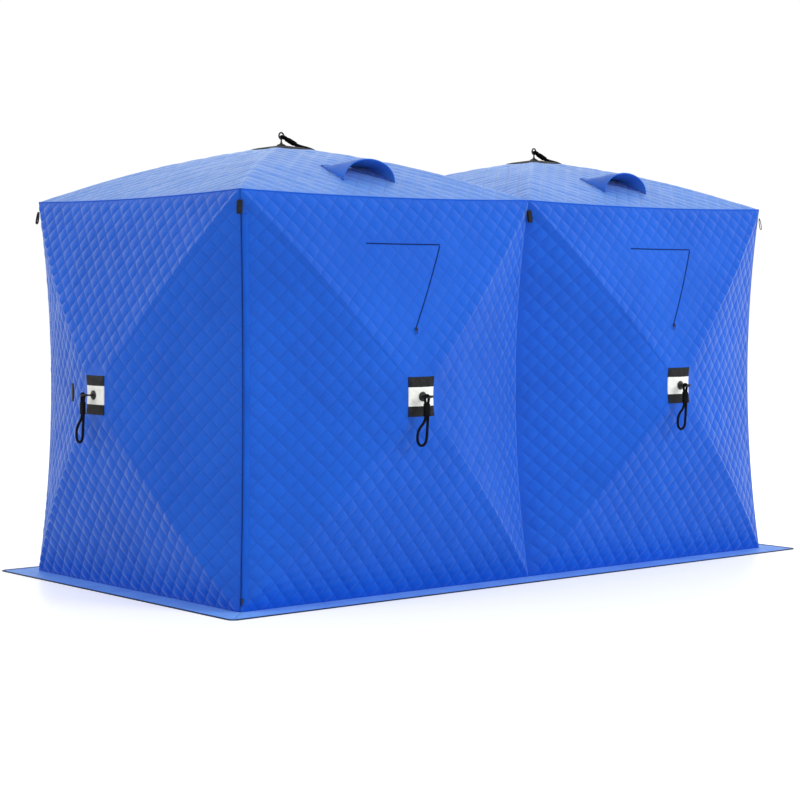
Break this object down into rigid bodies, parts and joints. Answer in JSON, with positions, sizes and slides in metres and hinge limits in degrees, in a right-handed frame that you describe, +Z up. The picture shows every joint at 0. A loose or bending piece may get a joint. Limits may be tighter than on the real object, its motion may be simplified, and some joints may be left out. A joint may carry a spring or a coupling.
{
  "type": "ice fishing shelter",
  "caption": "Pop-up ice fishing shelter: two joined square bays of quilted cloth held out by hubs and sprung poles, with pull loops, vent hoods and a snow skirt.",
  "frame": {"origin": "on the ground under the middle of the shelter", "axes": "+X along the length from the left bay to the right bay, +Y from the front to the back, +Z up"},
  "size_m": [4.064, 2.314, 2.219],
  "materials": {
    "quilted_wall": "quilted insulated polyester",
    "quilted_roof": "quilted insulated polyester",
    "hood_cloth": "smooth woven polyester",
    "skirt_cloth": "smooth woven polyester",
    "webbing": "woven webbing",
    "black_rope": "braided cord",
    "hub_plastic": "moulded nylon",
    "fibreglass": "pultruded fibreglass rod"
  },
  "bodies": {
    "tent": {"snow_skirt": "skirt_cloth", "guy_loops": "webbing", "wall_front_left": "quilted_wall", "wall_front_right": "quilted_wall", "wall_back_left": "quilted_wall", "wall_back_right": "quilted_wall", "wall_end_left": "quilted_wall", "wall_end_right": "quilted_wall", "cloth_roof_left": "quilted_roof", "vent_hood_left": "hood_cloth", "cloth_roof_right": "quilted_roof", "vent_hood_right": "hood_cloth"},
    "hub_front_left": {"hub_front_left": "hub_plastic", "pull_front_left": "black_rope"},
    "pole_front_left_lower_left": {"pole_front_left_lower_left": "fibreglass"},
    "pole_front_left_lower_right": {"pole_front_left_lower_right": "fibreglass"},
    "pole_front_left_upper_left": {"pole_front_left_upper_left": "fibreglass"},
    "pole_front_left_upper_right": {"pole_front_left_upper_right": "fibreglass"},
    "hub_front_right": {"hub_front_right": "hub_plastic", "pull_front_right": "black_rope"},
    "pole_front_right_lower_left": {"pole_front_right_lower_left": "fibreglass"},
    "pole_front_right_lower_right": {"pole_front_right_lower_right": "fibreglass"},
    "pole_front_right_upper_left": {"pole_front_right_upper_left": "fibreglass"},
    "pole_front_right_upper_right": {"pole_front_right_upper_right": "fibreglass"},
    "hub_back_left": {"hub_back_left": "hub_plastic", "pull_back_left": "black_rope"},
    "pole_back_left_lower_left": {"pole_back_left_lower_left": "fibreglass"},
    "pole_back_left_lower_right": {"pole_back_left_lower_right": "fibreglass"},
    "pole_back_left_upper_left": {"pole_back_left_upper_left": "fibreglass"},
    "pole_back_left_upper_right": {"pole_back_left_upper_right": "fibreglass"},
    "hub_back_right": {"hub_back_right": "hub_plastic", "pull_back_right": "black_rope"},
    "pole_back_right_lower_left": {"pole_back_right_lower_left": "fibreglass"},
    "pole_back_right_lower_right": {"pole_back_right_lower_right": "fibreglass"},
    "pole_back_right_upper_left": {"pole_back_right_upper_left": "fibreglass"},
    "pole_back_right_upper_right": {"pole_back_right_upper_right": "fibreglass"},
    "hub_end_left": {"hub_end_left": "hub_plastic", "pull_end_left": "black_rope"},
    "pole_end_left_lower_left": {"pole_end_left_lower_left": "fibreglass"},
    "pole_end_left_lower_right": {"pole_end_left_lower_right": "fibreglass"},
    "pole_end_left_upper_left": {"pole_end_left_upper_left": "fibreglass"},
    "pole_end_left_upper_right": {"pole_end_left_upper_right": "fibreglass"},
    "hub_end_right": {"hub_end_right": "hub_plastic", "pull_end_right": "black_rope"},
    "pole_end_right_lower_left": {"pole_end_right_lower_left": "fibreglass"},
    "pole_end_right_lower_right": {"pole_end_right_lower_right": "fibreglass"},
    "pole_end_right_upper_left": {"pole_end_right_upper_left": "fibreglass"},
    "pole_end_right_upper_right": {"pole_end_right_upper_right": "fibreglass"},
    "hub_roof_left": {"hub_roof_left": "hub_plastic", "pull_roof_left": "black_rope"},
    "pole_roof_left_lower_left": {"pole_roof_left_lower_left": "fibreglass"},
    "pole_roof_left_lower_right": {"pole_roof_left_lower_right": "fibreglass"},
    "pole_roof_left_upper_left": {"pole_roof_left_upper_left": "fibreglass"},
    "pole_roof_left_upper_right": {"pole_roof_left_upper_right": "fibreglass"},
    "hub_roof_right": {"hub_roof_right": "hub_plastic", "pull_roof_right": "black_rope"},
    "pole_roof_right_lower_left": {"pole_roof_right_lower_left": "fibreglass"},
    "pole_roof_right_lower_right": {"pole_roof_right_lower_right": "fibreglass"},
    "pole_roof_right_upper_left": {"pole_roof_right_upper_left": "fibreglass"},
    "pole_roof_right_upper_right": {"pole_roof_right_upper_right": "fibreglass"}
  },
  "joints": [
    {"name": "push_front_left", "type": "slide", "parent": "tent", "child": "hub_front_left", "axis": [0, -1, 0], "range_m": [-0.422, 0], "deforming": ["wall_front_left"]},
    {"name": "pivot_front_left_lower_left", "type": "hinge", "parent": "hub_front_left", "child": "pole_front_left_lower_left", "pos_m": [-0.89823, -1.061, 0.91017], "axis": [0.7301, 0, -0.6833], "range_deg": [-20.12, 0]},
    {"name": "pivot_front_left_lower_right", "type": "hinge", "parent": "hub_front_left", "child": "pole_front_left_lower_right", "pos_m": [-0.85177, -1.061, 0.91017], "axis": [0.7301, 0, 0.6833], "range_deg": [-20.12, 0]},
    {"name": "pivot_front_left_upper_left", "type": "hinge", "parent": "hub_front_left", "child": "pole_front_left_upper_left", "pos_m": [-0.89823, -1.061, 0.95983], "axis": [-0.7301, 0, -0.6833], "range_deg": [-20.12, 0]},
    {"name": "pivot_front_left_upper_right", "type": "hinge", "parent": "hub_front_left", "child": "pole_front_left_upper_right", "pos_m": [-0.85177, -1.061, 0.95983], "axis": [-0.7301, 0, 0.6833], "range_deg": [-20.12, 0]},
    {"name": "push_front_right", "type": "slide", "parent": "tent", "child": "hub_front_right", "axis": [0, -1, 0], "range_m": [-0.422, 0], "deforming": ["wall_front_right"]},
    {"name": "pivot_front_right_lower_left", "type": "hinge", "parent": "hub_front_right", "child": "pole_front_right_lower_left", "pos_m": [0.85177, -1.061, 0.91017], "axis": [0.7301, 0, -0.6833], "range_deg": [-20.12, 0]},
    {"name": "pivot_front_right_lower_right", "type": "hinge", "parent": "hub_front_right", "child": "pole_front_right_lower_right", "pos_m": [0.89823, -1.061, 0.91017], "axis": [0.7301, 0, 0.6833], "range_deg": [-20.12, 0]},
    {"name": "pivot_front_right_upper_left", "type": "hinge", "parent": "hub_front_right", "child": "pole_front_right_upper_left", "pos_m": [0.85177, -1.061, 0.95983], "axis": [-0.7301, 0, -0.6833], "range_deg": [-20.12, 0]},
    {"name": "pivot_front_right_upper_right", "type": "hinge", "parent": "hub_front_right", "child": "pole_front_right_upper_right", "pos_m": [0.89823, -1.061, 0.95983], "axis": [-0.7301, 0, 0.6833], "range_deg": [-20.12, 0]},
    {"name": "push_back_left", "type": "slide", "parent": "tent", "child": "hub_back_left", "axis": [0, 1, 0], "range_m": [-0.422, 0], "deforming": ["wall_back_left"]},
    {"name": "pivot_back_left_lower_left", "type": "hinge", "parent": "hub_back_left", "child": "pole_back_left_lower_left", "pos_m": [-0.85177, 1.061, 0.91017], "axis": [-0.7301, 0, -0.6833], "range_deg": [-20.12, 0]},
    {"name": "pivot_back_left_lower_right", "type": "hinge", "parent": "hub_back_left", "child": "pole_back_left_lower_right", "pos_m": [-0.89823, 1.061, 0.91017], "axis": [-0.7301, 0, 0.6833], "range_deg": [-20.12, 0]},
    {"name": "pivot_back_left_upper_left", "type": "hinge", "parent": "hub_back_left", "child": "pole_back_left_upper_left", "pos_m": [-0.85177, 1.061, 0.95983], "axis": [0.7301, 0, -0.6833], "range_deg": [-20.12, 0]},
    {"name": "pivot_back_left_upper_right", "type": "hinge", "parent": "hub_back_left", "child": "pole_back_left_upper_right", "pos_m": [-0.89823, 1.061, 0.95983], "axis": [0.7301, 0, 0.6833], "range_deg": [-20.12, 0]},
    {"name": "push_back_right", "type": "slide", "parent": "tent", "child": "hub_back_right", "axis": [0, 1, 0], "range_m": [-0.422, 0], "deforming": ["wall_back_right"]},
    {"name": "pivot_back_right_lower_left", "type": "hinge", "parent": "hub_back_right", "child": "pole_back_right_lower_left", "pos_m": [0.89823, 1.061, 0.91017], "axis": [-0.7301, 0, -0.6833], "range_deg": [-20.12, 0]},
    {"name": "pivot_back_right_lower_right", "type": "hinge", "parent": "hub_back_right", "child": "pole_back_right_lower_right", "pos_m": [0.85177, 1.061, 0.91017], "axis": [-0.7301, 0, 0.6833], "range_deg": [-20.12, 0]},
    {"name": "pivot_back_right_upper_left", "type": "hinge", "parent": "hub_back_right", "child": "pole_back_right_upper_left", "pos_m": [0.89823, 1.061, 0.95983], "axis": [0.7301, 0, -0.6833], "range_deg": [-20.12, 0]},
    {"name": "pivot_back_right_upper_right", "type": "hinge", "parent": "hub_back_right", "child": "pole_back_right_upper_right", "pos_m": [0.85177, 1.061, 0.95983], "axis": [0.7301, 0, 0.6833], "range_deg": [-20.12, 0]},
    {"name": "push_end_left", "type": "slide", "parent": "tent", "child": "hub_end_left", "axis": [-1, 0, 0], "range_m": [-0.422, 0], "deforming": ["wall_end_left"]},
    {"name": "pivot_end_left_lower_left", "type": "hinge", "parent": "hub_end_left", "child": "pole_end_left_lower_left", "pos_m": [-1.936, 0.02323, 0.91017], "axis": [0, -0.7301, -0.6833], "range_deg": [-20.12, 0]},
    {"name": "pivot_end_left_lower_right", "type": "hinge", "parent": "hub_end_left", "child": "pole_end_left_lower_right", "pos_m": [-1.936, -0.02323, 0.91017], "axis": [0, -0.7301, 0.6833], "range_deg": [-20.12, 0]},
    {"name": "pivot_end_left_upper_left", "type": "hinge", "parent": "hub_end_left", "child": "pole_end_left_upper_left", "pos_m": [-1.936, 0.02323, 0.95983], "axis": [0, 0.7301, -0.6833], "range_deg": [-20.12, 0]},
    {"name": "pivot_end_left_upper_right", "type": "hinge", "parent": "hub_end_left", "child": "pole_end_left_upper_right", "pos_m": [-1.936, -0.02323, 0.95983], "axis": [0, 0.7301, 0.6833], "range_deg": [-20.12, 0]},
    {"name": "push_end_right", "type": "slide", "parent": "tent", "child": "hub_end_right", "axis": [1, 0, 0], "range_m": [-0.422, 0], "deforming": ["wall_end_right"]},
    {"name": "pivot_end_right_lower_left", "type": "hinge", "parent": "hub_end_right", "child": "pole_end_right_lower_left", "pos_m": [1.936, -0.02323, 0.91017], "axis": [0, 0.7301, -0.6833], "range_deg": [-20.12, 0]},
    {"name": "pivot_end_right_lower_right", "type": "hinge", "parent": "hub_end_right", "child": "pole_end_right_lower_right", "pos_m": [1.936, 0.02323, 0.91017], "axis": [0, 0.7301, 0.6833], "range_deg": [-20.12, 0]},
    {"name": "pivot_end_right_upper_left", "type": "hinge", "parent": "hub_end_right", "child": "pole_end_right_upper_left", "pos_m": [1.936, -0.02323, 0.95983], "axis": [0, -0.7301, -0.6833], "range_deg": [-20.12, 0]},
    {"name": "pivot_end_right_upper_right", "type": "hinge", "parent": "hub_end_right", "child": "pole_end_right_upper_right", "pos_m": [1.936, 0.02323, 0.95983], "axis": [0, -0.7301, 0.6833], "range_deg": [-20.12, 0]},
    {"name": "push_roof_left", "type": "slide", "parent": "tent", "child": "hub_roof_left", "axis": [0, 0, 1], "range_m": [-0.556, 0], "deforming": ["cloth_roof_left", "vent_hood_left"]},
    {"name": "pivot_roof_left_lower_left", "type": "hinge", "parent": "hub_roof_left", "child": "pole_roof_left_lower_left", "pos_m": [-0.89904, -0.02404, 2.123], "axis": [0.7071, -0.7071, 0], "range_deg": [-27.29, 0]},
    {"name": "pivot_roof_left_lower_right", "type": "hinge", "parent": "hub_roof_left", "child": "pole_roof_left_lower_right", "pos_m": [-0.85096, -0.02404, 2.123], "axis": [0.7071, 0.7071, 0], "range_deg": [-27.29, 0]},
    {"name": "pivot_roof_left_upper_left", "type": "hinge", "parent": "hub_roof_left", "child": "pole_roof_left_upper_left", "pos_m": [-0.89904, 0.02404, 2.123], "axis": [-0.7071, -0.7071, 0], "range_deg": [-27.29, 0]},
    {"name": "pivot_roof_left_upper_right", "type": "hinge", "parent": "hub_roof_left", "child": "pole_roof_left_upper_right", "pos_m": [-0.85096, 0.02404, 2.123], "axis": [-0.7071, 0.7071, 0], "range_deg": [-27.29, 0]},
    {"name": "push_roof_right", "type": "slide", "parent": "tent", "child": "hub_roof_right", "axis": [0, 0, 1], "range_m": [-0.556, 0], "deforming": ["cloth_roof_right", "vent_hood_right"]},
    {"name": "pivot_roof_right_lower_left", "type": "hinge", "parent": "hub_roof_right", "child": "pole_roof_right_lower_left", "pos_m": [0.85096, -0.02404, 2.123], "axis": [0.7071, -0.7071, 0], "range_deg": [-27.29, 0]},
    {"name": "pivot_roof_right_lower_right", "type": "hinge", "parent": "hub_roof_right", "child": "pole_roof_right_lower_right", "pos_m": [0.89904, -0.02404, 2.123], "axis": [0.7071, 0.7071, 0], "range_deg": [-27.29, 0]},
    {"name": "pivot_roof_right_upper_left", "type": "hinge", "parent": "hub_roof_right", "child": "pole_roof_right_upper_left", "pos_m": [0.85096, 0.02404, 2.123], "axis": [-0.7071, -0.7071, 0], "range_deg": [-27.29, 0]},
    {"name": "pivot_roof_right_upper_right", "type": "hinge", "parent": "hub_roof_right", "child": "pole_roof_right_upper_right", "pos_m": [0.89904, 0.02404, 2.123], "axis": [-0.7071, 0.7071, 0], "range_deg": [-27.29, 0]}
  ],
  "couplings": [
    {"joint": "pivot_front_left_lower_left", "follows": "push_front_left", "rad_per_m": 0.82993},
    {"joint": "pivot_front_left_lower_right", "follows": "push_front_left", "rad_per_m": 0.82993},
    {"joint": "pivot_front_left_upper_left", "follows": "push_front_left", "rad_per_m": 0.82993},
    {"joint": "pivot_front_left_upper_right", "follows": "push_front_left", "rad_per_m": 0.82993},
    {"joint": "pivot_front_right_lower_left", "follows": "push_front_right", "rad_per_m": 0.82993},
    {"joint": "pivot_front_right_lower_right", "follows": "push_front_right", "rad_per_m": 0.82993},
    {"joint": "pivot_front_right_upper_left", "follows": "push_front_right", "rad_per_m": 0.82993},
    {"joint": "pivot_front_right_upper_right", "follows": "push_front_right", "rad_per_m": 0.82993},
    {"joint": "pivot_back_left_lower_left", "follows": "push_back_left", "rad_per_m": 0.82993},
    {"joint": "pivot_back_left_lower_right", "follows": "push_back_left", "rad_per_m": 0.82993},
    {"joint": "pivot_back_left_upper_left", "follows": "push_back_left", "rad_per_m": 0.82993},
    {"joint": "pivot_back_left_upper_right", "follows": "push_back_left", "rad_per_m": 0.82993},
    {"joint": "pivot_back_right_lower_left", "follows": "push_back_right", "rad_per_m": 0.82993},
    {"joint": "pivot_back_right_lower_right", "follows": "push_back_right", "rad_per_m": 0.82993},
    {"joint": "pivot_back_right_upper_left", "follows": "push_back_right", "rad_per_m": 0.82993},
    {"joint": "pivot_back_right_upper_right", "follows": "push_back_right", "rad_per_m": 0.82993},
    {"joint": "pivot_end_left_lower_left", "follows": "push_end_left", "rad_per_m": 0.82993},
    {"joint": "pivot_end_left_lower_right", "follows": "push_end_left", "rad_per_m": 0.82993},
    {"joint": "pivot_end_left_upper_left", "follows": "push_end_left", "rad_per_m": 0.82993},
    {"joint": "pivot_end_left_upper_right", "follows": "push_end_left", "rad_per_m": 0.82993},
    {"joint": "pivot_end_right_lower_left", "follows": "push_end_right", "rad_per_m": 0.82993},
    {"joint": "pivot_end_right_lower_right", "follows": "push_end_right", "rad_per_m": 0.82993},
    {"joint": "pivot_end_right_upper_left", "follows": "push_end_right", "rad_per_m": 0.82993},
    {"joint": "pivot_end_right_upper_right", "follows": "push_end_right", "rad_per_m": 0.82993},
    {"joint": "pivot_roof_left_lower_left", "follows": "push_roof_left", "rad_per_m": 0.85519},
    {"joint": "pivot_roof_left_lower_right", "follows": "push_roof_left", "rad_per_m": 0.85519},
    {"joint": "pivot_roof_left_upper_left", "follows": "push_roof_left", "rad_per_m": 0.85519},
    {"joint": "pivot_roof_left_upper_right", "follows": "push_roof_left", "rad_per_m": 0.85519},
    {"joint": "pivot_roof_right_lower_left", "follows": "push_roof_right", "rad_per_m": 0.85519},
    {"joint": "pivot_roof_right_lower_right", "follows": "push_roof_right", "rad_per_m": 0.85519},
    {"joint": "pivot_roof_right_upper_left", "follows": "push_roof_right", "rad_per_m": 0.85519},
    {"joint": "pivot_roof_right_upper_right", "follows": "push_roof_right", "rad_per_m": 0.85519}
  ]
}
